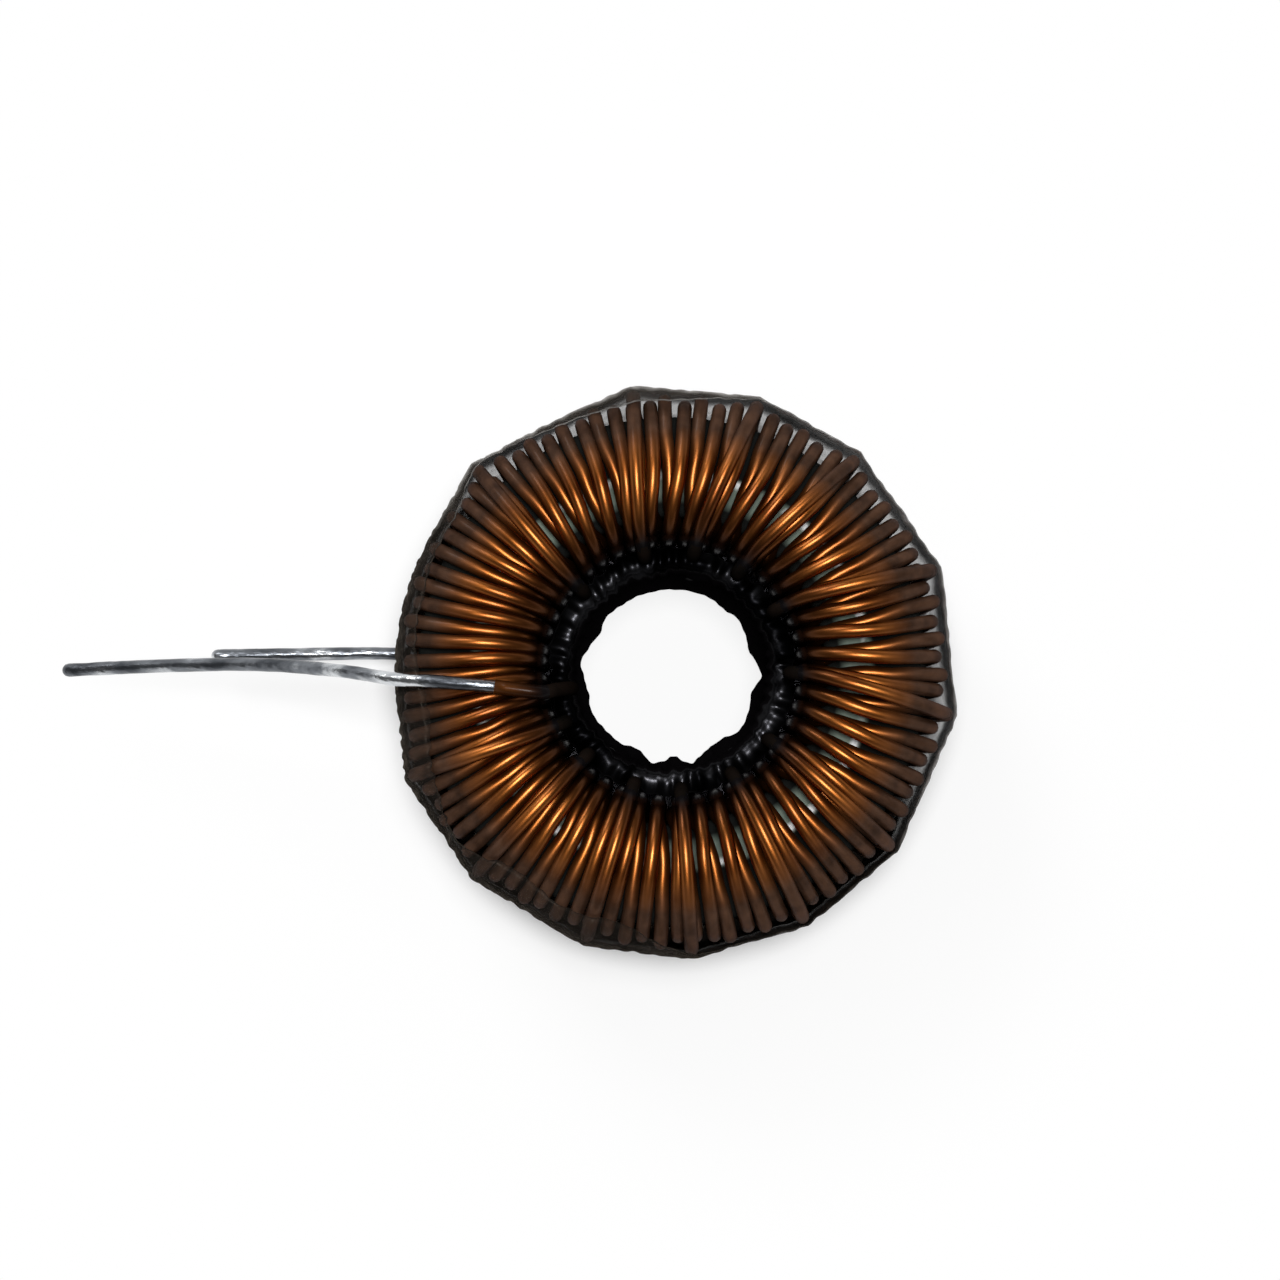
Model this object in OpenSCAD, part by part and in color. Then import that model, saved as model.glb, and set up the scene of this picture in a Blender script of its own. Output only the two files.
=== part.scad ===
/* [Core] */
// Outside diameter of the coated core ring
core_od = 39.9; // [38:0.1:46]
// Diameter of the hole through the coated core ring
core_hole_d = 24.1; // [23:0.1:25]
// Height of the coated core ring
core_h = 14.5; // [12:0.5:20]
// Radius of the core's rounded corners
core_corner = 0.8; // [0.4:0.1:1.5]

/* [Wire] */
// Diameter of the magnet wire over its enamel
wire_d = 1.06; // [1:0.02:1.2]
// Clearance between the wire and the core
wire_gap = 0.1; // [0.05:0.01:0.2]
// Slack of the first layer's turns at the outer rim
rim_slack = 0.35; // [0:0.05:0.5]
// Height that the turns bulge over the middle of the upper face
bulge = 0.4; // [0:0.05:0.6]
// Angle at which the first turn's outer side lies
first_turn_angle = 183.1; // [181:0.1:185]

/* [Leads] */
// Diameter of the stripped and tinned leads
lead_d = 1.02; // [0.9:0.02:1.1]
// Diameter of a lead's straight tip, where the solder is thickest
tip_d = 1.08; // [1.04:0.02:1.3]
// Length of a lead's straight tip
tip_l = 9; // [5:0.5:10]
// Distance from the core's axis to the start lead's tip
start_reach = 38; // [32:0.5:60]
// Distance from the core's axis to the finish lead's tip
finish_reach = 49.6; // [46:0.5:80]
// Length of tinned wire of the start lead that the film's wall encloses
start_tin_l = 1.45; // [0.5:0.05:2]
// Distance from the hole's wall to where the finish lead's tinning begins
finish_tin_l = 1.65; // [1:0.05:3]

/* [Film] */
// Thickness of the shrink film
film_t = 0.2; // [0.15:0.05:0.4]
// Clearance between the film and the turns that it wraps
film_gap = 0.1; // [0.05:0.01:0.2]
// Height of the film's upper edge above the core's middle
film_top = 6.4; // [4:0.2:7]
// Radius of the opening that the film leaves in the hole
film_hole_r = 7.2; // [5:0.1:7.8]
// Height of the film's inner edge below the core's middle
film_skirt = 3; // [2:0.5:5]
// Clearance round the start lead in the film's slit
slit_gap = 0.12; // [0.08:0.02:0.3]

/* [Hidden] */

// Facets of the exact round shapes
$fn = 96;
// Half the corner of an octagon: where a 45 degree chord meets a wall
chamfer = tan(22.5);
wire_r = wire_d / 2;

// Centres of the core's rounded corners, in a section through the axis
corner_in = core_hole_d / 2 + core_corner;
corner_out = core_od / 2 - core_corner;
corner_z = core_h / 2 - core_corner;

// Distance of the first layer's wire centre from those corner centres
hug = core_corner + wire_gap + wire_r;

// Places of the three layers, in wire diameters beyond the first layer's:
// towards the middle of the hole, and outwards at the rim
hole_step = [0, 1.01, 2.02];
rim_step = [0, 0, 0.84];
slack = [rim_slack, 0, rim_slack];
// away from the upper face near the hole, where the turns cross and near the rim
over_in = [0.05, 1, 2.09];
over_mid = [0.12, 1.25, 2.23];
over_out = [0.05, 0.66, 1.45];
// and away from the lower face near the hole and near the rim
under_in = [0.05, 1.18, 2.2];
under_out = [0.05, 1.03, 2.11];
// Place of the crossing between the core's inner and outer corners
cross_at = 0.42;

// Lean of a turn across the upper face in the first two layers, in pitches.
// The first turn of all leans less, to leave room for the climb to layer two.
lean = [0.5, 0.85];
first_lean = 0.3;
climb_lean = 0.36;

// Spacing of one layer's turns in the hole, in wire diameters
hole_pitch = 1.43;
layer_turns = floor(2 * PI * (corner_in - hug) / (hole_pitch * wire_d));
pitch = 360 / layer_turns;

// Angles of the third layer's few turns, clockwise from the first turn
proud_angles = [-49, -85, -111, -134, -162, -192, -222, -245, -269, -291, -317, -341];
// Lean of the third layer's turns across the upper face
proud_lean = 6;

// Section of the wire, and of the turns: a loop has 8 corners
wire_sides = 6;
lead_sides = 12;
lead_steps = 4;

// Radius of the wire's centre at the hole and at the rim, by layer
function hole_r(layer) = corner_in - hug - hole_step[layer] * wire_d;
function rim_r(layer) = corner_out + hug + slack[layer] + rim_step[layer] * wire_d;

// Inner radius of the film's wall on the ordinary turns, and on the proud ones
base_r = rim_r(0) + wire_r + film_gap;
proud_r = rim_r(2) + wire_r + film_gap;

// The corners of a loop's half, from the hole outwards, as [radius, height]
function half_loop(layer, steps_in, steps_out) =
    let(
        drop_in = corner_in - hole_r(layer),
        rise_in = hug + steps_in[layer] * wire_d,
        drop_out = rim_r(layer) - corner_out,
        rise_out = hug + steps_out[layer] * wire_d
    )
    [
        [hole_r(layer), corner_z + chamfer * rise_in],
        [corner_in - chamfer * drop_in, corner_z + rise_in],
        [corner_out + chamfer * drop_out, corner_z + rise_out],
        [rim_r(layer), corner_z + chamfer * rise_out],
    ];
function crossing(layer) = [
    corner_in + cross_at * (corner_out - corner_in),
    corner_z + hug + over_mid[layer] * wire_d + bulge,
];
function upper(layer) =
    let(half = half_loop(layer, over_in, over_out))
    [half[0], half[1], crossing(layer), half[2], half[3]];
function lower(layer) = half_loop(layer, under_in, under_out);

// The outer side's angle of turn i of each layer: the first goes round one way,
// the second comes back between its turns, and the third goes on the same way
function snapped(angle) = pitch * round((angle - pitch / 4) / pitch) + pitch / 4;
turns = concat(
    [[0, first_turn_angle - pitch * first_lean, first_turn_angle]],
    [for (i = [1 : layer_turns - 2])
        [0, first_turn_angle + pitch * (i - lean[0]), first_turn_angle + pitch * i]],
    [for (i = [layer_turns - 2 : -1 : -1])
        [1, first_turn_angle + pitch * (i + 0.5 + lean[1]), first_turn_angle + pitch * (i + 0.5)]],
    [for (angle = proud_angles)
        [2, first_turn_angle + snapped(angle) + proud_lean, first_turn_angle + snapped(angle)]]
);

// Angle at radius r of a turn that lies straight between its two ends
function angle_at(r, r_in, a_in, r_out, a_out) =
    a_out + (a_in - a_out) * (1 / r - 1 / r_out) / (1 / r_in - 1 / r_out);

// The upper half of a turn, from the hole to the rim, as [radius, angle, height]
function over_face(turn) =
    [for (p = upper(turn[0]))
        [p[0], angle_at(p[0], hole_r(turn[0]), turn[1], rim_r(turn[0]), turn[2]), p[1]]];

// The lower half, from the rim back to the hole, where the next turn begins.
// The turn that leads up to the second layer keeps aside of the start end.
function under_face(turn, next) =
    let(
        own = lower(turn[0]),
        climbs = turn[0] == 0 && next[0] == 1,
        low = next[0] == 1 ? own : lower(next[0]),
        aim = next[1] - (climbs ? climb_lean * pitch : 0),
        path = [own[3], low[2], low[1]],
        foot = lower(next[0])[0]
    )
    concat(
        [for (p = path)
            [p[0], angle_at(p[0], hole_r(next[0]), aim, rim_r(turn[0]), turn[2]), -p[1]]],
        [[foot[0], next[1], -foot[1]]]
    );

// The finish end: up through the hole a few degrees past the first turn, in a
// loose bow that begins a little over the film's lip, and over the upper face
finish_past = 6.5;
finish_foot = 1;
finish_bow = 1.2;
finish_angle = first_turn_angle + finish_past - 360;
finish_turn = [2, finish_angle, finish_angle];
finish_z = corner_z + hug + over_mid[2] * wire_d + bulge;

// The start end: under the lower face from the rim to the hole
start_turn = [0, 0, first_turn_angle - pitch];
start_x = start_tin_l - proud_r;
start_y = -start_x * sin(180 - start_turn[2]);
start_z = -(corner_z + hug + under_out[0] * wire_d);

function to_xyz(p) = [p[0] * cos(p[1]), p[0] * sin(p[1]), p[2]];

last = len(turns) - 1;
start_path = [for (p = under_face(start_turn, turns[0])) to_xyz(p)];
turn_paths = [for (i = [0 : last])
    concat(over_face(turns[i]), under_face(turns[i], i < last ? turns[i + 1] : finish_turn))];
finish_path = [for (p = [
        [hole_r(2), finish_foot - film_skirt],
        [hole_r(2) - finish_bow, corner_z],
        [hole_r(2) + finish_bow / 2, finish_z - wire_r],
    ]) to_xyz([p[0], finish_angle, p[1]])];

// Routes of the tinned leads, chosen by hand as they pass the film's wall:
// the last point is where the straight tip begins, and the next one is the tip
finish_start = [-core_hole_d / 2 - finish_tin_l, -1.3, finish_z - 0.1];
finish_tip = [-finish_reach, 0.3, -4];
finish_dir = unit([-12, -0.4, -4]);
finish_route = [
    finish_start,
    [6.5 - proud_r, -1.1, finish_z],
    [4 - proud_r, -0.9, finish_z - 0.3],
    [0.9 - proud_r, -0.7, finish_z - 1.3],
    [-3.6 - proud_r, 0, finish_z - 3.7],
    [-10.6 - proud_r, 0.6, finish_z - 8.4],
    finish_tip - tip_l * finish_dir,
];
start_tip = [-start_reach, start_y - 0.1, start_z];
start_dir = unit([-12, -0.2, 0]);
start_route = [
    [start_x, start_y, start_z],
    [-2.6 - proud_r, start_y + 0.1, start_z],
    start_tip - tip_l * start_dir,
];

wire_path = concat(
    [start_route[0]],
    [for (i = [1 : 3]) start_path[i]],
    [for (path = turn_paths) for (p = path) to_xyz(p)],
    finish_path,
    [finish_start]
);

function unit(v) = v / norm(v);

// A smooth route through points, with a few steps between each two
function between(a, b, c, d, t) =
    0.5 * (2 * b + (c - a) * t + (2 * a - 5 * b + 4 * c - d) * t * t
        + (3 * b - a - 3 * c + d) * t * t * t);
function smooth(points, steps, end) =
    let(
        n = len(points) - 1,
        ext = concat([2 * points[0] - points[1]], points, [end])
    )
    concat(
        [for (i = [0 : n - 1]) for (k = [0 : steps - 1])
            between(ext[i], ext[i + 1], ext[i + 2], ext[i + 3], k / steps)],
        [points[n]]
    );

// Directions along a path, with given ones at its two ends
function along_path(path, first, final) =
    let(n = len(path) - 1)
    [for (i = [0 : n])
        i == 0 ? first : i == n ? final :
        unit(unit(path[i] - path[i - 1]) + unit(path[i + 1] - path[i]))];

// Ring of points round a path's point: across is a direction to keep level with
function ring(p, along, across, r, sides, mitre = 1) =
    let(
        side = unit(across - (across * along) * along),
        up = cross(side, along)
    )
    [for (j = [0 : sides - 1])
        p + r * (cos(360 * j / sides) * side + mitre * sin(360 * j / sides) * up)];

wire_along = along_path(
    wire_path,
    unit(start_route[0] - start_route[1]),
    unit(finish_route[1] - finish_route[0])
);
wire_rings = [for (i = [0 : len(wire_path) - 1])
    let(
        p = wire_path[i],
        ends = i == 0 || i == len(wire_path) - 1,
        mitre = ends ? 1 : 1 / (wire_along[i] * unit(wire_path[i + 1] - p))
    )
    ring(p, wire_along[i], [-p[1], p[0], 0], wire_r, wire_sides, mitre)];

// A stripped lead: a smooth bent part that runs a little way into a straight
// round tip
module lead(route, tip, dir) {
    bent = concat(smooth(route, lead_steps, tip), [tip - (tip_l - tip_d) * dir]);
    along = along_path(bent, unit(route[1] - route[0]), dir);
    loft(
        [for (i = [0 : len(bent) - 1])
            ring(bent[i], along[i], [0, 1, 0], lead_d / 2, lead_sides)],
        false
    );
    straight(tip - tip_l * dir, tip, tip_d);
}

module straight(from, to, d) {
    v = to - from;
    translate(from)
        rotate([0, acos(v[2] / norm(v)), atan2(v[1], v[0])])
            cylinder(h = norm(v), d = d);
}

// The film: a wall that stands on the proud turns, drawn under the turns
// and up into the hole
film_floor = corner_z + hug + under_in[2] * wire_d + wire_r + film_gap;
mid_z = film_floor + film_t;
// Angle from a proud turn to where the film touches the turns beside it
film_lean = acos(base_r / proud_r);
film_step = 6;
// Width and height of the film's rounded foot
foot_w = 1.2;
foot_h = 1.8;
// The film's lip in the hole, as [distance from its narrowest place, height
// over its underside]: it turns up, and then spreads out to the turns
lip = [[2.3, 0], [0.3, 0.4], [0, 1.4], [0.2, 2.6], [1, 5.4]];
// Length of the slit for the start lead
slit_l = 3;

// The film's inner radius between two proud turns, at given angles from them:
// a flat from one to the other, or flats down to the turns and round on them
function film_r(d1, d2) =
    d1 + d2 < 2 * film_lean
        ? proud_r * cos((d1 + d2) / 2) / cos((d1 - d2) / 2)
        : min(d1, d2) < film_lean
            ? base_r / cos(film_lean - min(d1, d2))
            : base_r;

// Angles and inner radii of the film, with one at each proud turn
proud_n = len(proud_angles);
film_posts = [for (i = [0 : proud_n - 1])
    let(
        a = snapped(proud_angles[i]),
        b = i < proud_n - 1 ? snapped(proud_angles[i + 1]) : snapped(proud_angles[0]) - 360,
        n = ceil((a - b) / film_step)
    )
    for (k = [0 : n - 1])
        let(d = (a - b) * k / n)
        [first_turn_angle + a - d, film_r(d, a - b - d)]];

// A face of the film as [on the wall, radius or offset, height], from the
// upper edge down, under, and up to the inner edge; t is its thickness there
function film_face(t) =
    let(low = film_floor + t)
    concat(
        [[1, t, film_top]],
        [for (a = [0 : 45 : 90])
            [1, t - foot_w * (1 - cos(a)), foot_h * (1 - sin(a)) - low]],
        [[0, corner_in, -low]],
        [for (p = lip) [0, film_hole_r + film_t - t + p[0], p[1] - low]],
        [[0, hole_r(2) - wire_r - film_gap - t, -film_skirt]]
    );
film_inner = film_face(0);
film_section = concat(
    film_face(film_t),
    [for (i = [len(film_inner) - 1 : -1 : 0]) film_inner[i]]
);

module loft(rings, closed) {
    n = len(rings);
    m = len(rings[0]);
    rows = closed ? n - 1 : n - 2;
    polyhedron(
        points = [for (ring = rings) for (p = ring) p],
        faces = concat(
            [for (i = [0 : rows]) for (j = [0 : m - 1])
                [i * m + j, i * m + (j + 1) % m,
                    (i + 1) % n * m + (j + 1) % m, (i + 1) % n * m + j]],
            closed ? [] : [
                [for (j = [m - 1 : -1 : 0]) j],
                [for (j = [0 : m - 1]) (n - 1) * m + j],
            ]
        )
    );
}

module core() {
    color([0.36, 0.42, 0.36])
        translate([0, 0, mid_z])
            rotate_extrude()
                translate([(core_od + core_hole_d) / 4, 0])
                    rounded((core_od - core_hole_d) / 2, core_h, core_corner);
}

module rounded(width, height, r) {
    square([width - 2 * r, height], center = true);
    square([width, height - 2 * r], center = true);
    for (x = [-1, 1], y = [-1, 1])
        translate([x * (width / 2 - r), y * (height / 2 - r)])
            circle(r = r);
}

module winding() {
    color([0.62, 0.32, 0.12])
        translate([0, 0, mid_z])
            loft(wire_rings, false);
}

module start_lead() {
    color([0.7, 0.72, 0.75])
        translate([0, 0, mid_z])
            lead(start_route, start_tip, start_dir);
}

module finish_lead() {
    color([0.7, 0.72, 0.75])
        translate([0, 0, mid_z])
            lead(finish_route, finish_tip, finish_dir);
}

module shrink_film() {
    color([0.3, 0.28, 0.28, 0.6])
        translate([0, 0, mid_z])
            difference() {
                loft([for (post = film_posts)
                    [for (p = film_section)
                        to_xyz([p[0] * post[1] + p[1], post[0], p[2]])]], true);
                straight(
                    start_route[0],
                    start_route[0] + slit_l * unit(start_route[1] - start_route[0]),
                    lead_d + 2 * slit_gap
                );
            }
}

core();
winding();
start_lead();
finish_lead();
shrink_film();
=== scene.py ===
"""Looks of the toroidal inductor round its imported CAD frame: smooth wire, smoke film, tinned leads."""

import math
import random

import bpy
import numpy as np
from mathutils import Matrix, Vector, noise


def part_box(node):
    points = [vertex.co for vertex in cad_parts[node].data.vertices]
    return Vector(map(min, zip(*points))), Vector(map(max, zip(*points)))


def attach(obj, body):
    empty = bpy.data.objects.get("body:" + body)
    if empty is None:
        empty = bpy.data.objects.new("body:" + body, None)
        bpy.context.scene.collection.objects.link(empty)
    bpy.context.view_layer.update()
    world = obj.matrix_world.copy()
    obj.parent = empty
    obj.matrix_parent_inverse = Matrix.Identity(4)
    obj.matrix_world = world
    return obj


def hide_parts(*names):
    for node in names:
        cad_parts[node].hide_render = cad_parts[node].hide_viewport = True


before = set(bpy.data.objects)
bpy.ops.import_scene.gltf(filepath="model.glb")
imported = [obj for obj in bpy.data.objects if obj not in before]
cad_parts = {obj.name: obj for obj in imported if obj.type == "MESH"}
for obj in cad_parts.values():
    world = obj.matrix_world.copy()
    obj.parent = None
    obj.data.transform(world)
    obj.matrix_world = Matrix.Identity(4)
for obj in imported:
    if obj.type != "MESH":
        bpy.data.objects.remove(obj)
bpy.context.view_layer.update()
rng = random.Random(7)

# ---- sizes in mm, with heights from the core's middle plane -----------------

CORE_LO, CORE_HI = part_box("core")
MID_Z = (CORE_LO.z + CORE_HI.z) * 500  # the core's middle plane, over the floor
CORE_IN, CORE_OUT, CORE_Z = 12.85, 19.15, 6.45  # centres of the core's rounded corners
CORE_TOP = 7.25  # half the core's height
WIRE = 1.06
WIRE_R = WIRE / 2 + 0.035  # the swept tube's radius, a little over half the wire
WIRE_SIDES = 12
HUG = 1.43  # from the corner centres to the middle of the first layer's wire

# The three layers' radius in the hole and at the rim, and how many wires past HUG each
# lies from the upper face, and from the lower face near the hole and near the rim
HOLE_R = (11.42, 10.349, 9.279)
RIM_R = (20.93, 20.58, 21.82)
OVER_MID = (0.12, 1.25, 2.23)
UNDER_IN = (0.05, 1.18, 2.2)
UNDER_OUT = (0.05, 1.03, 2.11)

# A turn's arch over the upper face: the bulge of the part's source and what is added
# to it here, where it peaks, and the powers that make its inner and outer side round
BULGE, ARCH = 0.4, 0.2
PEAK_R = 15.1
ROUND_IN = 2.15
ROUND_OUT = (2.15, 1.75, 1.9)
ARCH_STEPS, CORNER_STEPS = 15, 6
# A turn is straight in the hole from RISE_Z up to STRAIGHT_Z, and at the rim from
# there to as far below the middle
RISE_Z, STRAIGHT_Z = -3.0, 3.4

# Angles in degrees: the first turn, and the third layer's turns from there with their sway
FIRST = 183.1
TURNS = 47
PITCH = 360 / TURNS
PROUD = (-49, -85, -111, -134, -162, -192, -222, -245, -269, -291, -317, -341)
PROUD_SWAY = (4, 5.3, 7.3, 7, 9.2, 8, 3.4, 2.3, 0.3, -0.7, -1, 3.6)
CLIMB = 0.36 * PITCH  # how far short of its place the wire aims as it climbs to layer two
JITTER = 0.35
# In mm, how far in a proud turn presses the ones under it; and how far the others reach
# out, as a share of what the film's wall stands out there
PROUD_PRESS = 0.24
REACH_SHARE = 0.75

# The film: its wall's inner radius on the ordinary and on the proud turns, the height
# of its floor's inner face, and its rounded foot
BASE_R, PROUD_R = 21.56, 22.45
FILM_FLOOR = 10.842
HALF_GAP = 0.1  # from those inner faces to the middle of the CAD's film
SHEET = 0.1  # the sheet's thickness
FOOT_IN, FOOT_UP = 1.2, 1.8
FILM_COLUMNS = 564
CURL_ROWS, WALL_ROWS, FOOT_ROWS, FLOOR_ROWS = 9, 16, 5, 10
FLOOR_END = 9.6
SAG = -FILM_FLOOR - HALF_GAP
LIP = ((9.5, SAG), (7.5, 0.35 - FILM_FLOOR), (7.25, 1.4 - FILM_FLOOR), (7.5, 2.8 - FILM_FLOOR),
       (7.95, 5.4 - FILM_FLOOR), (8.1, -3.0), (7.95, 0.0), (7.8, 2.2), (7.85, 3.4),
       (8.15, 4.3), (8.65, 4.6), (9.2, 4.5), (9.8, 4.2))
NARROWEST = 6.8  # the lip's folds leave the hole open to this radius
TIGHT = 0.06  # where the film lies tight, its folds stand out by no more than this
TIGHT_BELOW = 8.5
# Dents in the lip that show in the hole's outline: angle, width and depth
DENTS = ((346, 8, 0.5), (272, 4, 0.6), (305, 9, 0.6), (243, 7, 0.4), (20, 9, 0.4),
         (171, 9, -0.45), (257, 4, -0.3), (284, 3, -0.35), (0, 5, -0.35), (150, 6, 0.35))

# The leads' routes, from where the enamel ends to the tip
LEAD_D, TIP_D = 1.02, 1.08
LEAD_SIDES = 18
FINISH_Z = CORE_Z + HUG + OVER_MID[2] * WIRE + BULGE
FINISH = (
    (-13.7, -1.3, FINISH_Z - 0.1),
    (6.5 - PROUD_R, -1.1, FINISH_Z),
    (4 - PROUD_R, -0.9, FINISH_Z - 0.3),
    (0.9 - PROUD_R, -0.7, FINISH_Z - 1.3),
    (-3.6 - PROUD_R, 0.0, FINISH_Z - 3.7),
    (-10.6 - PROUD_R, 0.6, FINISH_Z - 8.4),
    (-41.07, 0.58, -1.16),
    (-49.6 + 0.5, 0.3, -4 + 0.17),
)
START_Y, START_Z = 1.669, -7.933
START = (
    (-21.0, START_Y, START_Z),
    (-2.6 - PROUD_R, START_Y + 0.1, START_Z),
    (-33.5, START_Y - 0.03, START_Z),
    (-38 + 0.5, START_Y - 0.1, START_Z),
)
SLIT_R = 0.62
# The enamelled bow up through the hole to the finish lead: its angle, and its points
# as radius past the third layer's and height
FINISH_A = FIRST + 6.5 - 360
FINISH_BOW = ((0, -5.5), (0, -2), (-1.2, 3), (-1.0, CORE_Z), (-0.1, CORE_Z + 2.6), (1.1, FINISH_Z - 0.15))


# ---- curves and meshes ------------------------------------------------------

def polar(r, a, z):
    return np.array([r * math.cos(math.radians(a)), r * math.sin(math.radians(a)), z])


def bell(angle, centre, width):
    """1 at a centre angle, less to both sides of it."""
    d = (angle - centre + 180) % 360 - 180
    return math.exp(-(d / width) ** 2)


def ripple(x, y, z, scale, seed):
    return noise.noise(Vector((x * scale, y * scale, z * scale + seed)))


def rail(points, steps):
    """A smooth curve through points, a few steps between each two."""
    p = [np.asarray(q, float) for q in points]
    p = [2 * p[0] - p[1]] + p + [2 * p[-1] - p[-2]]
    out = []
    for i in range(1, len(p) - 2):
        a, b, c, d = p[i - 1:i + 3]
        for k in range(steps):
            t = k / steps
            out.append(0.5 * (2 * b + (c - a) * t + (2 * a - 5 * b + 4 * c - d) * t * t
                              + (3 * b - a - 3 * c + d) * t ** 3))
    return np.array(out + [p[-2]])


def curve(xs, ys):
    """A smooth function through a few given points."""
    dense = rail(list(zip(xs, ys)), 8)
    return lambda x: float(np.interp(x, dense[:, 0], dense[:, 1]))


def mesh_object(name, points, faces):
    """A smooth mesh object from points in mm round the core's middle."""
    verts = (np.asarray(points, float) + [0, 0, MID_Z]) * 0.001
    mesh = bpy.data.meshes.new(name)
    mesh.from_pydata(verts.tolist(), [], faces)
    mesh.validate()
    mesh.update()
    mesh.polygons.foreach_set("use_smooth", [True] * len(mesh.polygons))
    obj = bpy.data.objects.new(name, mesh)
    bpy.context.scene.collection.objects.link(obj)
    return obj


def with_round_end(path, radii, end):
    """The path and radii with a dome added at one end, 0 or -1."""
    step = path[end] - path[1 if end == 0 else -2]
    step /= np.linalg.norm(step)
    dome = (0.5, 0.95, 1.3, 1.5)
    caps = [path[end] + step * radii[end] * math.sin(a) for a in dome]
    size = [radii[end] * math.cos(a) for a in dome]
    if end == 0:
        return np.vstack([caps[::-1], path]), np.concatenate([size[::-1], radii])
    return np.vstack([path, caps]), np.concatenate([radii, size])


def tube(name, path, radii, sides, round_ends):
    """A round tube along a path, its frame carried along without twist."""
    path = np.asarray(path, float)
    radii = np.broadcast_to(np.asarray(radii, float), (len(path),)).copy()
    if round_ends:
        path, radii = with_round_end(path, radii, 0)
        path, radii = with_round_end(path, radii, -1)
    along = np.gradient(path, axis=0)
    along /= np.linalg.norm(along, axis=1)[:, None]
    side = np.cross(along[0], [0, 0.3, 1])
    rings = []
    for p, t, r in zip(path, along, radii):
        side = side - t * side.dot(t)
        side /= np.linalg.norm(side)
        up = np.cross(t, side)
        for j in range(sides):
            a = 2 * math.pi * j / sides
            rings.append(p + r * (math.cos(a) * side + math.sin(a) * up))
    faces = [(i * sides + j, i * sides + (j + 1) % sides,
              (i + 1) * sides + (j + 1) % sides, (i + 1) * sides + j)
             for i in range(len(path) - 1) for j in range(sides)]
    last = (len(path) - 1) * sides
    faces.append(tuple(range(sides - 1, -1, -1)))
    faces.append(tuple(last + j for j in range(sides)))
    return mesh_object(name, rings, faces)


# ---- the winding: one wire, 105 turns in three layers -----------------------

# How far a turn has swayed sideways at each radius, as shares of its whole sway: the
# upper turns where the layers cross and where they don't, the third layer's, and how
# far a lower turn has dived under
sway_crossing = curve((8, 9.3, 10.4, 11.6, 13.2, 14.8, 16.7, 18.4, 20.6, 23),
                      (1, 1, 1, 0.78, 0.52, 0.27, 0.08, 0.02, 0, 0))
sway_beside = curve((8, 9.3, 10.4, 11.6, 13.2, 14.8, 16.7, 18.8, 20.6, 23),
                    (1, 1, 1, 0.96, 0.8, 0.55, 0.25, 0.04, 0, 0))
sway_proud = curve((8, 9.3, 11.6, 13.2, 15.9, 18.8, 21.8, 23), (1, 1, 0.85, 0.66, 0.4, 0.18, 0, 0))
dive = curve((8, 9.3, 10.9, 11.6, 12.4, 13.2, 14.5, 15.9, 17, 18, 19, 23),
             (1, 1, 1, 0.8, 0.55, 0.39, 0.27, 0.17, 0.1, 0.03, 0, 0))
# Round the ring, clockwise from +X: a turn's sway in degrees, and how fully the
# lower turns dive under the upper ones
AROUND = (-20, 0, 40, 70, 85, 100, 120, 140, 180, 205, 219, 233, 270, 310, 340, 380)
sway_at = curve(AROUND, (4.3, 4.2, 3.9, 3, 1.6, 0.5, -1.3, -2.2, -2.3, -2.3, 1, 4.2, 4.4, 4.5, 4.3, 4))
cross_at = curve(AROUND, (1, 1, 1, 1, 0.9, 0.6, 0.15, 0, 0, 0, 0.5, 1, 1, 1, 1, 1))

PROUD_AT = sorted((FIRST + a) % 360 for a in PROUD)
FILM_LEAN = math.degrees(math.acos(BASE_R / PROUD_R))


def film_r(angle):
    """Inner radius of the film's wall: flats between the proud turns."""
    angle %= 360
    ahead = min((p - angle) % 360 for p in PROUD_AT)
    back = min((angle - p) % 360 for p in PROUD_AT)
    if ahead + back < 2 * FILM_LEAN:
        half = math.radians((ahead + back) / 2)
        off = math.radians((ahead - back) / 2)
        return PROUD_R * math.cos(half) / math.cos(off)
    near = min(ahead, back)
    if near < FILM_LEAN:
        return BASE_R / math.cos(math.radians(FILM_LEAN - near))
    return BASE_R


def under_proud(angle, width):
    """1 at a proud turn's angle, less to both sides of it."""
    return max(bell(angle, FIRST + a, width) for a in PROUD)


def spread_out(angle):
    """Closes the empty place above the start end by moving the turns beside it."""
    d = (angle - (FIRST - PITCH) + 180) % 360 - 180
    return angle - math.copysign(1.5 * math.exp(-(abs(d) - PITCH / 2) / 14), d)


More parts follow.
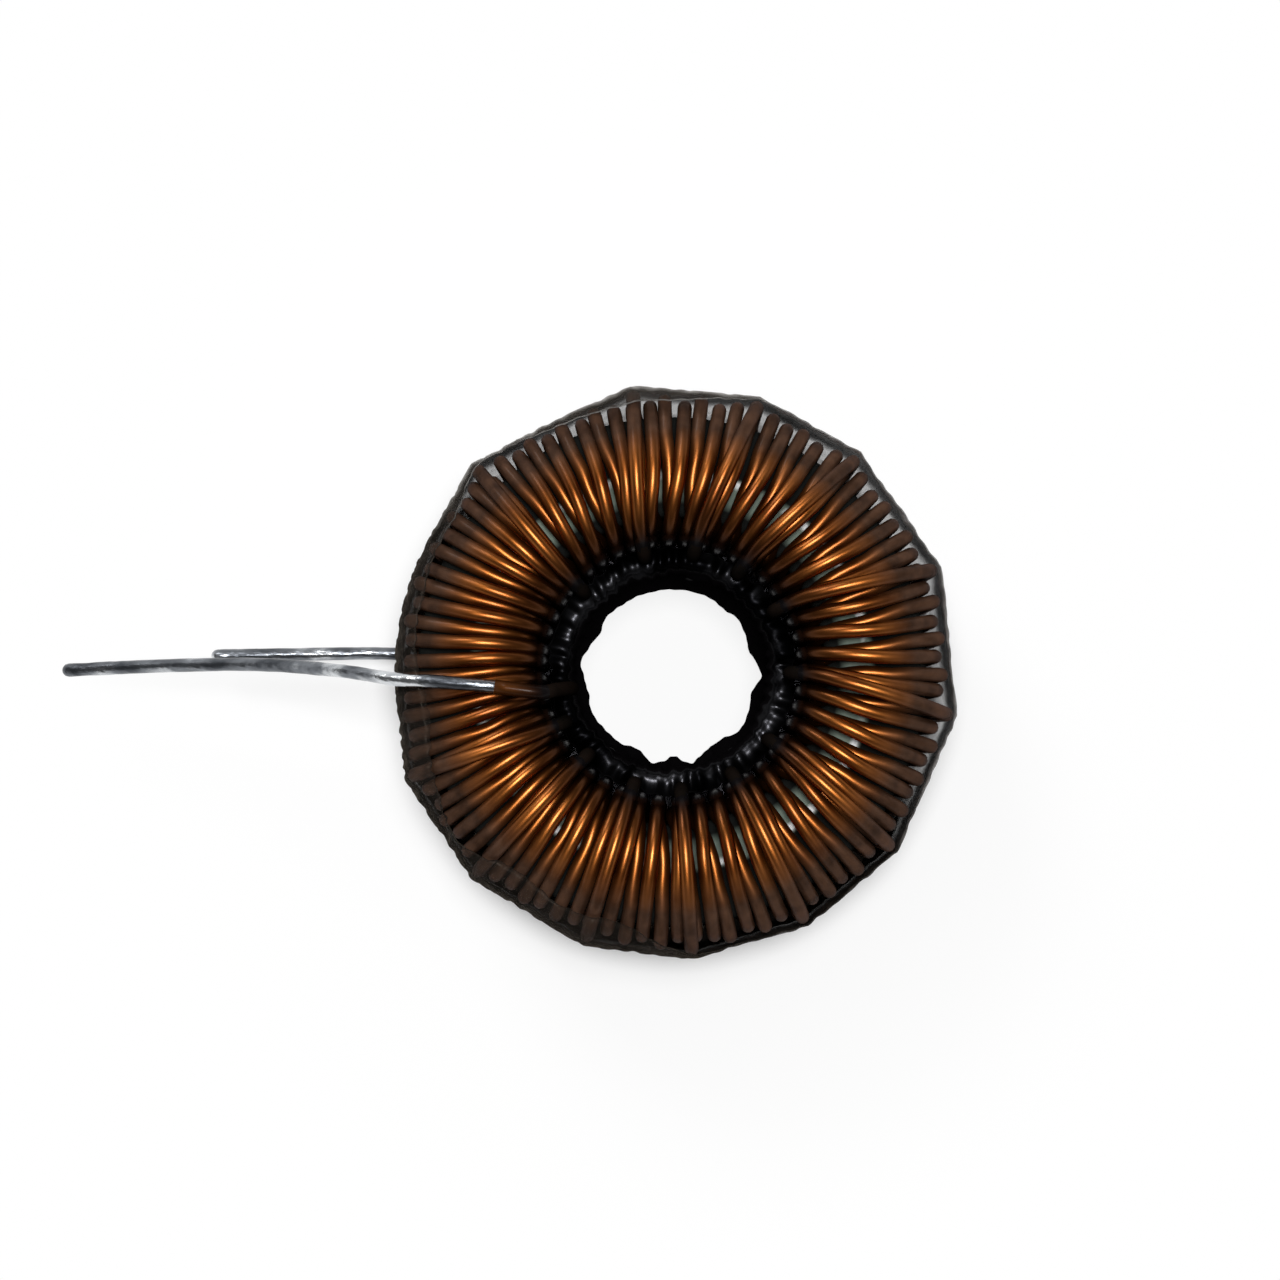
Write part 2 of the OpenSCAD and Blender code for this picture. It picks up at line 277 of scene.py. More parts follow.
class Turn:
    """One turn: its layer, its angle at the rim, and how it sways on its way to the hole."""

    def __init__(self, layer, rim, proud_sway=0.0):
        proud = layer == 2
        off = rng.uniform(-JITTER, JITTER)
        self.layer = layer
        self.rim = rim + off * 0.5 if proud else spread_out(rim) + off
        self.lift = rng.uniform(-0.05, 0.08)
        self.sink = rng.uniform(0, 0.12)
        self.reach = 0
        if not proud:
            self.sink = max(self.sink, PROUD_PRESS * under_proud(self.rim, 3))
            self.reach = REACH_SHARE * (film_r(self.rim) - BASE_R) * (1 - under_proud(self.rim, 3.2))
        where = -rim % 360
        self.cross = cross_at(where)
        self.sway = proud_sway or sway_at(where) + rng.uniform(-JITTER, JITTER)
        self.dives = self.cross + rng.uniform(-0.05, 0.05) if layer == 0 else 0
        self.slack = rng.uniform(-0.3, 1.1) if layer == 0 else rng.uniform(-0.25, 0.25)

    def angle(self, r):
        """The turn's angle at a radius on the upper face."""
        if self.layer == 2:
            return self.rim + self.sway * sway_proud(r)
        sway = self.cross * sway_crossing(r) + (1 - self.cross) * sway_beside(r)
        bow = self.slack * math.exp(-((r - 15) / 1.8) ** 2)
        return self.rim + self.sway * sway - PITCH * self.dives * dive(r) + bow

    def hole(self):
        """The turn's angle in the hole."""
        return self.angle(HOLE_R[self.layer])


def all_turns():
    """Every turn in the order of winding: layer one goes round, two comes back, then the proud ones."""
    turns = [Turn(0, FIRST + PITCH * i) for i in range(TURNS - 1)]
    turns += [Turn(1, FIRST + PITCH * (i + 0.5)) for i in range(TURNS - 2, -2, -1)]
    return turns + [Turn(2, FIRST + a, sway) for a, sway in zip(PROUD, PROUD_SWAY)]


def arch(layer, r, r_in, r_out, height):
    """Height over the core's corner centres of a turn's arch at radius r."""
    u = (PEAK_R - r) / (PEAK_R - r_in) if r < PEAK_R else (r - PEAK_R) / (r_out - PEAK_R)
    power = ROUND_IN if r < PEAK_R else ROUND_OUT[layer]
    return height * max(0.0, 1 - min(1.0, u) ** power) ** (1 / power)


def over_turn(turn):
    """A turn's upper half: up in the hole, over in one arch, to the rim."""
    layer = turn.layer
    r_in, r_out = HOLE_R[layer], RIM_R[layer] + turn.reach - turn.sink
    height = HUG + OVER_MID[layer] * WIRE + BULGE + ARCH + turn.lift
    quarter = np.linspace(0, math.pi / 2, ARCH_STEPS)
    spans = [PEAK_R - (PEAK_R - r_in) * math.cos(t) for t in quarter]
    spans += [PEAK_R + (r_out - PEAK_R) * math.sin(t) for t in quarter[1:]]
    pts = [polar(r_in, turn.hole(), z) for z in (RISE_Z, 0.0, STRAIGHT_Z)]
    pts += [polar(r, turn.angle(r), CORE_Z + arch(layer, r, r_in, r_out, height)) for r in spans]
    return pts + [polar(r_out, turn.rim, z) for z in (STRAIGHT_Z, 0.0, -STRAIGHT_Z)]


def straight_angle(r, r_in, a_in, r_out, a_out):
    """The angle at radius r on a nearly straight way between two points."""
    return a_out + (a_in - a_out) * (1 / r - 1 / r_out) / (1 / r_in - 1 / r_out)


def under_turn(layer, sink, a_out, next_layer, next_a, aim):
    """The lower half, from the rim to where the next turn rises in the hole.

    It runs for the angle aim, and goes on to next_a round the core's last corner.
    """
    r_out, r_in = RIM_R[layer] - sink, HOLE_R[next_layer]
    rise_out = HUG + UNDER_OUT[max(layer, next_layer)] * WIRE
    rise_in = HUG + UNDER_IN[next_layer] * WIRE
    quarter = np.linspace(0, math.pi / 2, CORNER_STEPS)
    route = [(CORE_OUT + (r_out - CORE_OUT) * math.cos(t), rise_out * math.sin(t)) for t in quarter]
    route += [(CORE_OUT + (CORE_IN - CORE_OUT) * k, rise_out + (rise_in - rise_out) * k)
              for k in (0.25, 0.5, 0.75)]
    corner = len(route)
    route += [(CORE_IN - (CORE_IN - r_in) * math.sin(t), rise_in * math.cos(t)) for t in quarter]
    pts = []
    for n, (r, z) in enumerate(route):
        a = straight_angle(r, r_in, aim, r_out, a_out)
        k = max(0, n - corner) / (CORNER_STEPS - 1)
        pts.append(polar(r, a + (next_a - aim) * k, -CORE_Z - z))
    return pts


def winding_path():
    """The enamelled wire's points, and how many of them come before the bow to the finish lead."""
    turns = all_turns()
    first_a = turns[0].hole()
    pts = [np.array(START[0])]
    pts += under_turn(0, 0, FIRST - PITCH, 0, first_a, first_a)[CORNER_STEPS:]
    for i, turn in enumerate(turns):
        last = i + 1 == len(turns)
        next_layer = 2 if last else turns[i + 1].layer
        next_a = FINISH_A if last else turns[i + 1].hole()
        aim = next_a - CLIMB if turn.layer == 0 and next_layer == 1 else next_a
        pts += over_turn(turn)
        pts += under_turn(turn.layer, turn.sink - turn.reach, turn.rim, next_layer, next_a, aim)
    bow = rail([polar(HOLE_R[2] + r, FINISH_A, z) for r, z in FINISH_BOW] + [FINISH[0]], 4)
    return pts + list(bow), len(pts)


# ---- the smoke film: tight over the turns' outer side, curled and pleated ----

LIP_ROWS = [tuple(p) for p in rail(LIP, 4)[1:]]


def wrap(angle):
    """How far the upper edge curls over the turns, in degrees round the shoulder."""
    n = ripple(math.cos(math.radians(angle)), math.sin(math.radians(angle)), 0, 3, 4)
    side = max(bell(angle, 185, 62), bell(angle, 240, 40), 0.75 * bell(angle, 100, 32))
    return min(92.0, max(0.0, 96 * side - 14 + 22 * n))


def film_rows(angle):
    """The film's section at one angle, from the upper edge to the lip in the hole."""
    wall_r = film_r(angle)
    prouder = (wall_r - BASE_R) / (PROUD_R - BASE_R)
    top = 3.0 + 0.75 * prouder
    curl = wrap(angle)
    uneven = ripple(math.cos(math.radians(angle)), math.sin(math.radians(angle)), 0, 6, 9)
    free = max(0.0, 1 - curl / 25) * (0.9 + 0.5 * uneven)
    rows = []
    for t in np.linspace(1, 0, CURL_ROWS):
        w = math.radians(curl * t)
        rows.append((CORE_OUT + (wall_r - CORE_OUT + HALF_GAP) * math.cos(w) + 0.15 * math.sin(w),
                     CORE_Z + top * math.sin(w) + free * t))
    for z in np.linspace(CORE_Z, FOOT_UP - FILM_FLOOR, WALL_ROWS)[1:]:
        rows.append((wall_r + HALF_GAP, z))
    for t in np.linspace(0, math.pi / 2, FOOT_ROWS)[1:]:
        rows.append((wall_r + HALF_GAP - FOOT_IN * (1 - math.cos(t)), SAG + FOOT_UP * (1 - math.sin(t))))
    foot_r = wall_r + HALF_GAP - FOOT_IN
    for k in np.linspace(0, 1, FLOOR_ROWS)[1:]:
        rows.append((foot_r + (FLOOR_END - foot_r) * k, SAG))
    return rows + LIP_ROWS


def wall_folds(a, x, y, r, z):
    """How far the wall stands out over its section; it is tight but for its uppermost edge."""
    d = 0.03 * math.cos(math.radians(a) * TURNS * 2)
    d += 0.12 * ripple(x * r, y * r, z, 0.5, 2) + 0.08 * ripple(x * r, y * r, z, 1.3, 5)
    d += 0.28 * ripple(x * r, y * r, z * 0.3, 1.9, 14) * bell(a, 185, 60)
    return min(d, TIGHT) if z < TIGHT_BELOW else d


def lip_folds(a, x, y, r, z):
    """How far the lip stands out over its section, and its height with the folds."""
    k = min(1.0, max(0.0, (z + FILM_FLOOR) / 1.5))
    low = math.exp(-((z + 9.2) / 2.8) ** 2)
    pleat = math.cos(math.radians(a + 1.5) * TURNS) * (0.5 + ripple(x, y, 0, 2.2, 8))
    d = k * (0.05 + 0.13 * (1 - low)) * pleat
    d += 0.3 * ripple(x * r, y * r, z, 0.45, 6) * k + 0.25 * ripple(x * 4, y * 4, z * 0.3, 1.3, 3) * k
    z += 1.4 * ripple(x * 3, y * 3, 0, 1.1, 12) * k * (1 if z < -5 else 0.3)
    for at, wide, deep in DENTS:
        d -= deep * bell(a, at, wide) * low
    if z > -3:
        d = min(d, TIGHT)
    if z > 1.0:
        lump = 0.45 * ripple(x * 4, y * 4, 0, 2.0, 21) + 0.07 * math.cos(math.radians(a) * TURNS)
        over = min(1.0, (z - 1.0) / 3)
        z += over * lump
        d += 0.4 * over * lump
    return (max(d, NARROWEST - r) if z < -5 else d), z


def film_point(a, r, z):
    """A point of the film's section at one angle, with the folds."""
    x, y = math.cos(math.radians(a)), math.sin(math.radians(a))
    d = 0.0
    if r > 18 and z > -9.5:
        d = wall_folds(a, x, y, r, z)
    elif r > 10:
        z += 0.05 * math.cos(math.radians(a) * TURNS) + 0.06 * ripple(x * r, y * r, z, 0.6, 3)
    else:
        d, z = lip_folds(a, x, y, r, z)
    return polar(r + d, a, max(z, -FILM_FLOOR - 0.05))


def in_slit(p):
    """Whether a point of the wall is in the slit round the start lead."""
    return p[0] < -15 and math.hypot(p[1] - START_Y, p[2] - START_Z) < SLIT_R


def build_film():
    """The film as one thin sheet, column by column round the ring."""
    columns = []
    for i in range(FILM_COLUMNS):
        a = 360 * i / FILM_COLUMNS
        columns.append([film_point(a, r, z) for r, z in film_rows(a)])
    m = len(columns[0])
    faces = []
    for i in range(FILM_COLUMNS):
        k = (i + 1) % FILM_COLUMNS
        for j in range(m - 1):
            if not in_slit((columns[i][j] + columns[k][j + 1]) / 2):
                faces.append((i * m + j, i * m + j + 1, k * m + j + 1, k * m + j))
    obj = mesh_object("film_sleeve", [p for column in columns for p in column], faces)
    thick = obj.modifiers.new("sheet", "SOLIDIFY")
    thick.thickness = SHEET * 0.001
    thick.offset = 0
    return obj


# ---- the tinned leads -------------------------------------------------------

def tinned(name, route, seed):
    """A tinned lead with uneven solder, thickest towards its tip."""
    path = rail(route, 14)
    length = np.concatenate([[0], np.cumsum(np.linalg.norm(np.diff(path, axis=0), axis=1))])
    radii = []
    for s in length:
        wave = noise.noise(Vector((s * 0.55, seed, 0))) + 0.5 * noise.noise(Vector((s * 1.6, seed, 7)))
        radii.append(LEAD_D / 2 + 0.035 * wave + (TIP_D - LEAD_D) / 2 * min(1, s / length[-1] * 1.4))
    return tube(name, path, radii, LEAD_SIDES, round_ends=True)


wire_path, bow_from = winding_path()
winding = tube("winding_wire", wire_path, WIRE_R, WIRE_SIDES, round_ends=False)
start = tinned("start_wire", START, 3)
finish = tinned("finish_wire", FINISH, 8)
film = build_film()


# ---- shader nodes -----------------------------------------------------------

def material(name, base, rough, **plain):
    """A new material with its plain values, its node tree, its shader and its object coordinates."""
    m = bpy.data.materials.new(name)
    m.use_nodes = True
    nt = m.node_tree
    shader = nt.nodes["Principled BSDF"]
    shader.inputs["Base Color"].default_value = (*base, 1)
    shader.inputs["Roughness"].default_value = rough
    for key, value in plain.items():
        shader.inputs[key.replace("_", " ")].default_value = value
    coords = nt.nodes.new("ShaderNodeTexCoord")
    return m, nt, shader, coords.outputs["Object"]


def noise_node(nt, where, scale, detail=4, stretch=(1, 1, 1)):
    grid = nt.nodes.new("ShaderNodeMapping")
    grid.inputs["Scale"].default_value = stretch
    nt.links.new(where, grid.inputs["Vector"])
    n = nt.nodes.new("ShaderNodeTexNoise")
    n.inputs["Scale"].default_value = scale
    n.inputs["Detail"].default_value = detail
    nt.links.new(grid.outputs["Vector"], n.inputs["Vector"])
    return n.outputs["Fac"]


def ramp(nt, fac, *stops):
    """A colour that runs through stops, each a place and a colour."""
    r = nt.nodes.new("ShaderNodeValToRGB")
    els = r.color_ramp.elements
    while len(els) < len(stops):
        els.new(0.5)
    for e, (place, colour) in zip(els, stops):
        e.position = place
        e.color = (*colour, 1)
    nt.links.new(fac, r.inputs["Fac"])
    return r.outputs["Color"]


def spread(nt, fac, lo, hi, from_lo=0.3, from_hi=0.7):
    """From lo to hi while a value goes from from_lo to from_hi."""
    m = nt.nodes.new("ShaderNodeMapRange")
    m.inputs["From Min"].default_value = from_lo
    m.inputs["From Max"].default_value = from_hi
    m.inputs["To Min"].default_value = lo
    m.inputs["To Max"].default_value = hi
    nt.links.new(fac, m.inputs["Value"])
    return m.outputs["Result"]


def between(nt, distance, from_mm, to_mm, lo=0.0, hi=1.0):
    """From lo to hi while a distance in metres goes from one number of mm to another."""
    return spread(nt, distance, lo, hi, from_mm / 1000, to_mm / 1000)


def bump(nt, shader, height, strength, distance):
    b = nt.nodes.new("ShaderNodeBump")
    b.inputs["Strength"].default_value = strength
    b.inputs["Distance"].default_value = distance
    nt.links.new(height, b.inputs["Height"])
    nt.links.new(b.outputs["Normal"], shader.inputs["Normal"])


def maths(nt, kind, a, b, clamp=False):
    n = nt.nodes.new("ShaderNodeMath")
    n.operation = kind
    n.use_clamp = clamp
    for socket, value in zip(n.inputs, (a, b)):
        if isinstance(value, (int, float)):
            socket.default_value = value
        else:
            nt.links.new(value, socket)
    return n.outputs[0]


def times(nt, a, b):
    return maths(nt, "MULTIPLY", a, b)


def vector_maths(nt, kind, vector, fixed=None):
    """A vector node's outputs, worked on a vector and, where there is one, a fixed vector."""
    n = nt.nodes.new("ShaderNodeVectorMath")
    n.operation = kind
    nt.links.new(vector, n.inputs[0])
    if fixed:
        n.inputs[1].default_value = fixed
    return n.outputs


def radius_of(nt, where):
    """Distance from the ring's axis, in metres."""
    flat = vector_maths(nt, "MULTIPLY", where, (1, 1, 0))["Vector"]
    return vector_maths(nt, "LENGTH", flat)["Value"]


def height_of(nt, where):
    parts = nt.nodes.new("ShaderNodeSeparateXYZ")
    nt.links.new(where, parts.inputs[0])
    return parts.outputs["Z"]


def steepness(nt, where):
    """0 where the surface lies flat, 1 where it stands upright."""
    upright = height_of(nt, where.node.outputs["Normal"])
    return maths(nt, "SUBTRACT", 1.0, maths(nt, "ABSOLUTE", upright, 0.0))


def blend(nt, amount, first, second):
    """A colour that goes from the first to the second; either may be a fixed colour."""
    mix = nt.nodes.new("ShaderNodeMix")
    mix.data_type = "RGBA"
    nt.links.new(amount, mix.inputs["Factor"])
    for socket, colour in ((mix.inputs[6], first), (mix.inputs[7], second)):
        if isinstance(colour, tuple):
            socket.default_value = (*colour, 1)
        else:
            nt.links.new(colour, socket)
    return mix.outputs[2]


def shaded(nt, colour, amount):
    """A colour made darker by an amount, as painted shade; 1 for no change."""
    return blend(nt, amount, (0.004, 0.0035, 0.004), colour)


# ---- materials; places are in mm from the ring's axis, or heights over the floor

def enamelled_copper(name="enamelled_copper", rough=0.31, gain=1.0):
    """Amber enamel, darkened as painted shade towards the hole; at the outer ends, under the film, rougher
    and a duller, darker brown, also painted shade. A gain under 1 makes a darker copy.
    """
    m, nt, s, where = material(name, (0.25, 0.09, 0.02), 0.3, Metallic=0.95, Coat_Weight=0.1,
                               Coat_Roughness=0.22, Specular_IOR_Level=0.1,
                               Specular_Tint=(0.3, 0.16, 0.08, 1))
    tone = ramp(nt, noise_node(nt, where, 260, 3),
                (0.3, (0.135 * gain, 0.037 * gain, 0.0072 * gain)),
                (0.7, (0.32 * gain, 0.102 * gain, 0.02 * gain)))
    # Painted shade: the duller, darker brown of the outer ends, with a random tone
    outer_shade_tone = ramp(nt, noise_node(nt, where, 700, 4),
                (0.3, (0.038, 0.019, 0.0115)), (0.7, (0.098, 0.049, 0.029)))
    reach = radius_of(nt, where)
    # Painted shade: the colour darkens towards the hole, and at the outer ends, which are also rougher
    lit = between(nt, reach, 10.1, 14.0)
    outer_dull_shade = between(nt, reach, 16.2, 19.0)
    nt.links.new(shaded(nt, blend(nt, outer_dull_shade, tone, outer_shade_tone), lit), s.inputs["Base Color"])
    # Less metal where shade is painted, so that it stays dark
    shiny = times(nt, spread(nt, outer_dull_shade, 0.95, 0.6, 0.0, 1.0), spread(nt, lit, 0.0, 1.0, 0.0, 0.12))
    nt.links.new(shiny, s.inputs["Metallic"])
    grain = spread(nt, noise_node(nt, where, 500, 3), rough, rough + 0.07)
    nt.links.new(maths(nt, "ADD", grain, times(nt, outer_dull_shade, 0.22)), s.inputs["Roughness"])
    bump(nt, s, noise_node(nt, where, 300, 1), 0.05, 0.0001)
    return m


def shadowed():
    """The turns down in the hole, behind the black film: a copy of the enamel painted near-black as shade,
    without gloss.
    """
    m, nt, s, where = material("enamelled_copper_hole", (0.006, 0.004, 0.003), 0.6, Specular_IOR_Level=0)
    tone = ramp(nt, noise_node(nt, where, 500, 3),
                (0.3, (0.005, 0.0043, 0.0036)), (0.7, (0.011, 0.0072, 0.0055)))
    nt.links.new(tone, s.inputs["Base Color"])
    bump(nt, s, noise_node(nt, where, 600, 2), 0.1, 0.0001)
    return m


def epoxy():
    """The core's coating: grey-green in a band of the upper face, with pale spots there as painted glints,
    and painted near-black as shade elsewhere.
    """
    m, nt, s, where = material("core_coating", (0.07, 0.09, 0.07), 0.6, Specular_IOR_Level=0)
    reach = radius_of(nt, where)
    green = ramp(nt, noise_node(nt, where, 300, 5), (0.3, (0.12, 0.154, 0.125)), (0.7, (0.2, 0.24, 0.2)))
    # Painted glints: pale spots in a ring on the upper face
    ring = times(nt, between(nt, reach, 14.9, 15.2), between(nt, reach, 15.5, 15.8, 1.0, 0.0))
    painted_glint = times(nt, ring, spread(nt, noise_node(nt, where, 240, 2), 0.0, 1.0, 0.46, 0.54))
    # Painted shade: the coating darkens outside a band of the upper face
    open_to_light = times(nt, between(nt, reach, 15.5, 15.9, 1.0, 0.03),
                          between(nt, reach, 13.1, 13.9, 0.03, 1.0))
    coating = shaded(nt, blend(nt, painted_glint, green, (0.88, 0.89, 0.89)), open_to_light)
    nt.links.new(coating, s.inputs["Base Color"])
    nt.links.new(spread(nt, noise_node(nt, where, 800, 3), 0.5, 0.75), s.inputs["Roughness"])
    bump(nt, s, noise_node(nt, where, 1200, 2), 0.25, 0.0002)
    return m


def solder():
    """Mottled solder, drawn out along the leads."""
    m, nt, s, where = material("tinned_wire", (0.62, 0.64, 0.68), 0.25, Metallic=1.0)
    patches = noise_node(nt, where, 420, 5, (0.45, 1, 1))
    tone = ramp(nt, patches, (0.38, (0.07, 0.076, 0.086)), (0.52, (0.2, 0.212, 0.23)),
                (0.64, (0.66, 0.68, 0.7)))
    nt.links.new(tone, s.inputs["Base Color"])
    nt.links.new(spread(nt, patches, 0.42, 0.2), s.inputs["Roughness"])
    bump(nt, s, noise_node(nt, where, 700, 4, (0.5, 1, 1)), 0.9, 0.0003)
    return m


def lining():
    """The film in the hole: painted near-black as shade, with a gleam only where it turns up to the light.
    """
    m, nt, s, where = material("film_lining", (0.005, 0.005, 0.006), 0.25, Specular_IOR_Level=0)
    # Painted shade: steep faces are near-black and without gloss; flat faces gleam, some more than others
    flat = spread(nt, steepness(nt, where), 1.0, 0.0, 0.3, 0.6)
    nt.links.new(flat, s.inputs["Metallic"])
    grey = ramp(nt, noise_node(nt, where, 280, 2),
                (0.44, (0.003, 0.003, 0.0035)), (0.6, (0.036, 0.036, 0.04)))
    nt.links.new(shaded(nt, grey, flat), s.inputs["Base Color"])
    nt.links.new(spread(nt, noise_node(nt, where, 500, 3), 0.28, 0.42), s.inputs["Roughness"])
    return m


def film_density(nt, where, shade_side, inside):
    """The film's alpha: thin over the turns, denser edge-on and at its hem, and opaque in the hole; on the
    side towards -X and -Y, where shade is painted, it is thinner over the turns and denser edge-on and at
    its foot.
    """
    high = height_of(nt, where)
    edge = nt.nodes.new("ShaderNodeLayerWeight")
    edge.inputs["Blend"].default_value = 0.5
    facing = edge.outputs["Facing"]
    thin = spread(nt, noise_node(nt, where, 160, 3), 0.1, 0.2)
    thin = times(nt, thin, maths(nt, "SUBTRACT", 1.0, times(nt, shade_side, 0.5)))
    hem = times(nt, between(nt, high, MID_Z - 4, MID_Z + 0.5, 0.0, 0.48),
                spread(nt, facing, 0.08, 1.0, 0.5, 0.8))
    foot = times(nt, between(nt, radius_of(nt, where), 19.2, 20.0),
                 between(nt, high, MID_Z - 6, MID_Z - 2, 1.0, 0.0))
    body = maths(nt, "ADD", thin, times(nt, facing, 0.22))
    body = maths(nt, "ADD", body, hem)
    body = maths(nt, "ADD", body, times(nt, shade_side, foot))
    body = maths(nt, "ADD", body, times(nt, shade_side, spread(nt, facing, 0.0, 0.2, 0.6, 0.85)))
    return maths(nt, "ADD", body, inside, clamp=True)


def smoke():
    """The smoke film: grey; its upright upper edge is pale as a painted sheen, but darker as painted shade
    on the side towards -X and -Y; in the hole it is painted near-black as shade.
    """
    m, nt, s, where = material("smoke_film", (0.06, 0.057, 0.055), 0.25, Specular_IOR_Level=0)
    # Painted shade and sheen: the upright upper edge is darker on the side towards -X and -Y and pale
    # elsewhere
    toward = vector_maths(nt, "DOT_PRODUCT", where, (-0.57, -0.82, 0))["Value"]
    shade_side = between(nt, toward, -5, 3)
    # Painted shade: in the hole the film turns near-black and opaque
    inside = between(nt, radius_of(nt, where), 10.2, 12.5, 1.0, 0.0)
    nt.links.new(film_density(nt, where, shade_side, inside), s.inputs["Alpha"])
    grey = ramp(nt, noise_node(nt, where, 420, 4), (0.3, (0.026, 0.022, 0.018)), (0.7, (0.06, 0.051, 0.043)))
    painted_sheen = ramp(nt, noise_node(nt, where, 900, 4),
                   (0.35, (0.38, 0.365, 0.345)), (0.65, (0.66, 0.64, 0.61)))
    side_shade_tone = ramp(nt, noise_node(nt, where, 1100, 5),
                (0.4, (0.025, 0.02, 0.016)), (0.6, (0.09, 0.076, 0.062)))
    stands = steepness(nt, where)
    curl = between(nt, height_of(nt, where), MID_Z + 3.8, MID_Z + 6.6)
    rim = blend(nt, times(nt, spread(nt, stands, 0.0, 1.0, 0.55, 0.9), curl), grey,
                blend(nt, shade_side, painted_sheen, side_shade_tone))
    nt.links.new(shaded(nt, rim, maths(nt, "SUBTRACT", 1.0, inside)), s.inputs["Base Color"])
    nt.links.new(spread(nt, stands, 0.3, 0.0, 0.3, 0.6), s.inputs["Metallic"])
    nt.links.new(spread(nt, noise_node(nt, where, 500, 3), 0.18, 0.34), s.inputs["Roughness"])
    bump(nt, s, noise_node(nt, where, 350, 3), 0.25, 0.0003)
    return m


# Painted shade: turns and film nearer the axis than these take near-black materials
DARK_TURNS_R = 9.7  # the turns nearer the axis are dark
LINING_R = 10.4  # the film nearer the axis is its lining


def dress(piece, materials, pick=None):
    """Gives a piece its materials, and each face the one that pick names by number."""
    piece.data.materials.clear()
    for m in materials:
        piece.data.materials.append(m)
    if pick:
        for face in piece.data.polygons:
            face.material_index = pick(face)


def face_r(face):
    """A face's distance from the ring's axis, in mm."""
    return math.hypot(face.center.x, face.center.y) * 1000


def wire_material(face):
    """2 for the turns in the hole and 1 for the bow to the finish lead, both painted darker as shade; 0 for
    the rest.
    """
    if face_r(face) < DARK_TURNS_R:
        return 2
    return 1 if face.vertices[0] >= bow_from * WIRE_SIDES else 0


# A rougher copy of the enamel for the bow up through the hole, made darker as painted shade
shaded_dull_copper = enamelled_copper("enamelled_copper_dull_shaded", 0.6, 0.4)
tin = solder()
dress(winding, (enamelled_copper(), shaded_dull_copper, shadowed()), wire_material)
dress(start, (tin,))
dress(finish, (tin,))
dress(film, (smoke(), lining()), lambda face: int(face_r(face) < LINING_R))
dress(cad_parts["core"], (epoxy(),))

for piece, node, slot in ((winding, "winding", "enamelled_copper"), (start, "start_lead", "tinned_wire"),
                          (finish, "finish_lead", "tinned_wire"), (film, "shrink_film", "smoke_film")):
    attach(piece, "root")
    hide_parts(node)


# ---- floor, light and camera ------------------------------------------------

def seen_ray(nt, in_gloss=1.0):
    """1 for what the camera sees, in_gloss for what metal and clear plastic show, else 0."""
    path = nt.nodes.new("ShaderNodeLightPath")
    either = maths(nt, "MAXIMUM", path.outputs["Is Glossy Ray"], path.outputs["Is Transmission Ray"])
    return maths(nt, "MAXIMUM", path.outputs["Is Camera Ray"], times(nt, either, in_gloss))


def mix_shaders(nt, amount, first, second, surface):
    mix = nt.nodes.new("ShaderNodeMixShader")
    nt.links.new(amount, mix.inputs["Fac"])
    nt.links.new(first.outputs[0], mix.inputs[1])
    nt.links.new(second.outputs[0], mix.inputs[2])
    nt.links.new(mix.outputs[0], surface)


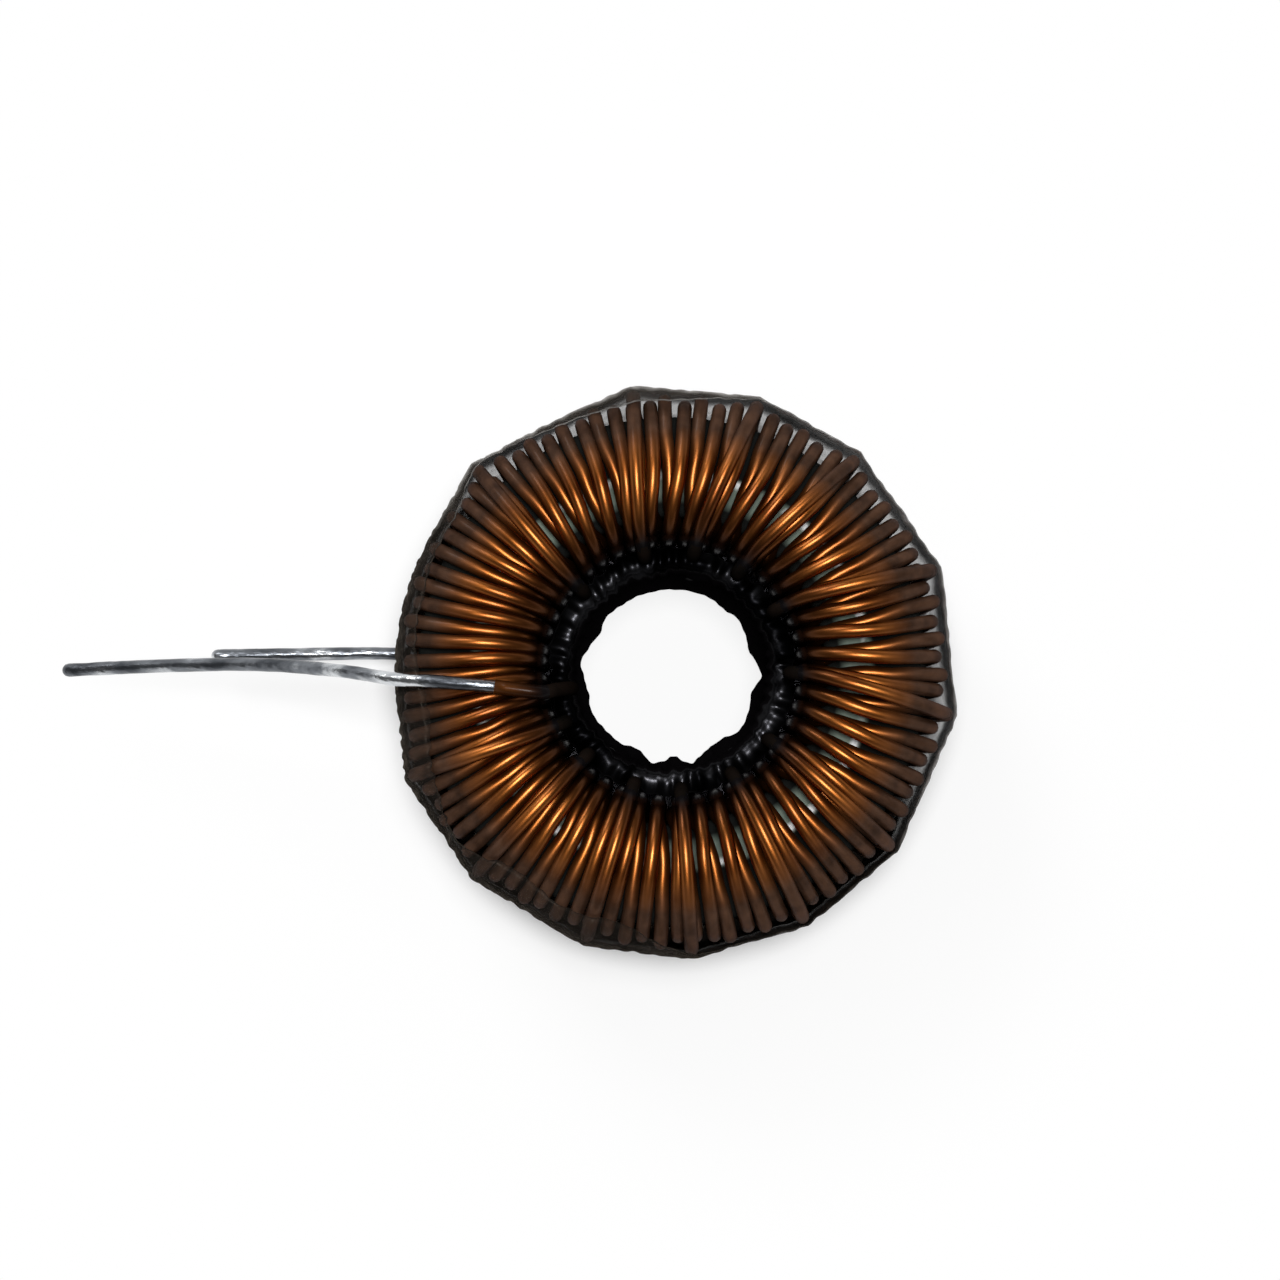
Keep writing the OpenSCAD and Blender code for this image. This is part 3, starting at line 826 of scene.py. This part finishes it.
def floor(half):
    """A near-white floor that is seen as plain white away from the part and keeps the shadow near it."""
    mesh = bpy.data.meshes.new("floor")
    corners = [(-half, -half, 0), (half, -half, 0), (half, half, 0), (-half, half, 0)]
    mesh.from_pydata(corners, [], [(0, 1, 2, 3)])
    obj = bpy.data.objects.new("floor", mesh)
    bpy.context.scene.collection.objects.link(obj)
    m, nt, s, where = material("floor", (0.92, 0.92, 0.92), 0.9, Specular_IOR_Level=0)
    white = nt.nodes.new("ShaderNodeEmission")
    white.inputs["Strength"].default_value = 1
    reach = radius_of(nt, where)
    around = maths(nt, "ADD", between(nt, reach, 22, 25, 0.0, 0.7), between(nt, reach, 25, 50, 0.0, 0.3))
    away = maths(nt, "MAXIMUM", around, between(nt, reach, 8.3, 9.5, 0.8, 0.0))
    mix_shaders(nt, times(nt, seen_ray(nt), away), s, white, nt.nodes["Material Output"].inputs["Surface"])
    mesh.materials.append(m)


def lamp(name, place, size, power):
    """A round area lamp that looks at the frame's origin."""
    light = bpy.data.lights.new(name, "AREA")
    light.shape = "DISK"
    light.size = size
    light.energy = power
    obj = bpy.data.objects.new(name, light)
    obj.location = place
    obj.rotation_euler = (-Vector(place)).to_track_quat("-Z", "Y").to_euler()
    bpy.context.scene.collection.objects.link(obj)


def background(nt, strength):
    shader = nt.nodes.new("ShaderNodeBackground")
    shader.inputs["Color"].default_value = (1, 1, 1, 1)
    shader.inputs["Strength"].default_value = strength
    return shader


def studio():
    """A dim world, seen white by the camera, and by metal and film only near the horizon."""
    world = bpy.data.worlds.new("studio")
    bpy.context.scene.world = world
    world.use_nodes = True
    nt = world.node_tree
    nt.nodes.clear()
    out = nt.nodes.new("ShaderNodeOutputWorld")
    view_dir = nt.nodes.new("ShaderNodeTexCoord").outputs["Generated"]
    sweep = spread(nt, height_of(nt, view_dir), 1.0, 0.0, 0.25, 0.5)
    mix_shaders(nt, seen_ray(nt, sweep), background(nt, 0.07), background(nt, 1), out.inputs["Surface"])


def camera(place, target):
    """The photo's camera: nearly straight above, +X to the right and +Y up."""
    data = bpy.data.cameras.new("camera")
    cam = bpy.data.objects.new("camera", data)
    bpy.context.scene.collection.objects.link(cam)
    bpy.context.scene.camera = cam
    data.sensor_width = 36
    data.lens = 96.4
    data.clip_start = 0.01
    cam.location = place
    back = (cam.location - Vector(target)).normalized()
    right = Vector((0, 1, 0)).cross(back).normalized()
    cam.rotation_euler = Matrix((right, back.cross(right), back)).transposed().to_euler()


CAMERA_UP = 268  # mm over the core's upper face
floor(3)
lamp("key", (0.02, 0.05, 0.75), 0.2, 4.8)
lamp("fill", (-0.3, 0.5, 0.5), 0.3, 1.7)
studio()
camera((-0.001, -0.006, (MID_Z + CORE_TOP + CAMERA_UP) / 1000),
       (-0.0025, 0.0024, (MID_Z + CORE_TOP) / 1000))
bpy.context.scene.view_settings.view_transform = "Standard"
